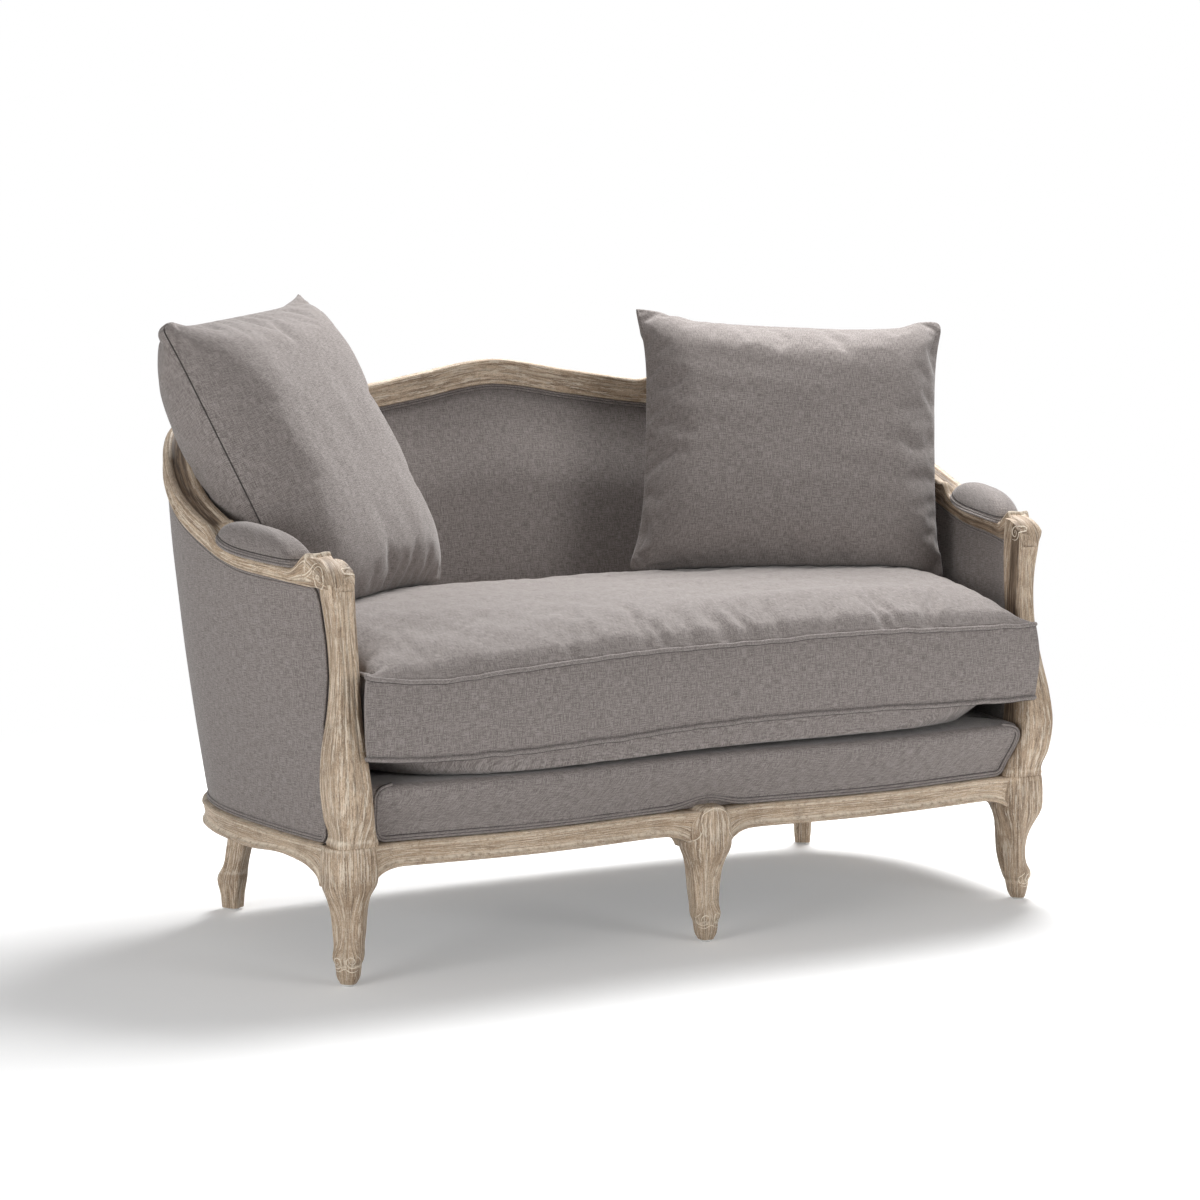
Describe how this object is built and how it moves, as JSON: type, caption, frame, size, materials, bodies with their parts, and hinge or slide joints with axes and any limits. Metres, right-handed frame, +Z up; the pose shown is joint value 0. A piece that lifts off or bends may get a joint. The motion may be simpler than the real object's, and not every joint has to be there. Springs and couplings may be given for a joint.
{
  "type": "settee",
  "caption": "Settee with a show-wood frame, a curved back that sweeps into padded arms, cabriole legs, a loose seat cushion and loose pillows.",
  "frame": {"origin": "on the floor under the middle of the settee's box", "axes": "+X to the right seen from the front, +Y to the back, +Z up"},
  "size_m": [1.6297, 0.9148, 1.1186],
  "materials": {
    "limed_oak": "limed and weathered, open grain, matt",
    "frame_wood": "bare beech",
    "linen": "plain weave linen, matt",
    "welt": "double welt in the same linen",
    "webbing": "woven elastic webbing",
    "lining": "non-woven black lining",
    "nylon": "white nylon"
  },
  "bodies": {
    "frame": {"front_left_rail": "limed_oak", "front_right_rail": "limed_oak", "left_side_rail": "limed_oak", "right_side_rail": "limed_oak", "back_rail": "limed_oak", "front_left_leg": "limed_oak", "front_centre_leg": "limed_oak", "front_right_leg": "limed_oak", "back_left_leg": "limed_oak", "back_right_leg": "limed_oak", "left_arm_post": "limed_oak", "right_arm_post": "limed_oak", "left_arm_rail": "limed_oak", "right_arm_rail": "limed_oak", "crest_rail": "limed_oak", "left_back_stile": "frame_wood", "right_back_stile": "frame_wood", "left_outside_arm": "linen", "right_outside_arm": "linen", "outside_back": "linen", "left_inside_arm": "linen", "right_inside_arm": "linen", "inside_back": "linen", "left_arm_pad": "linen", "right_arm_pad": "linen", "seat_deck": "linen", "left_outside_arm_welt": "welt", "right_outside_arm_welt": "welt", "outside_back_welt": "welt", "inside_wall_welt": "welt", "front_border_welt": "welt", "seat_web_1": "webbing", "seat_web_2": "webbing", "seat_web_3": "webbing", "seat_web_4": "webbing", "seat_web_5": "webbing", "seat_web_6": "webbing", "seat_web_7": "webbing", "back_web_1": "webbing", "back_web_2": "webbing", "back_web_3": "webbing", "dust_cover": "lining", "front_left_glide": "nylon", "front_centre_glide": "nylon", "front_right_glide": "nylon", "back_left_glide": "nylon", "back_right_glide": "nylon"},
    "seat_cushion": {"seat_cushion": "linen"},
    "left_pillow": {"left_pillow": "linen"},
    "right_pillow": {"right_pillow": "linen"}
  },
  "joints": [
    {"name": "cushion_lift", "type": "slide", "parent": "frame", "child": "seat_cushion", "axis": [0, 0, 1], "range_m": [0, 0.66]},
    {"name": "left_pillow_lift", "type": "slide", "parent": "seat_cushion", "child": "left_pillow", "axis": [0, 0, 1], "range_m": [0, 0.45]},
    {"name": "right_pillow_lift", "type": "slide", "parent": "seat_cushion", "child": "right_pillow", "axis": [0, 0, 1], "range_m": [0, 0.45]}
  ]
}
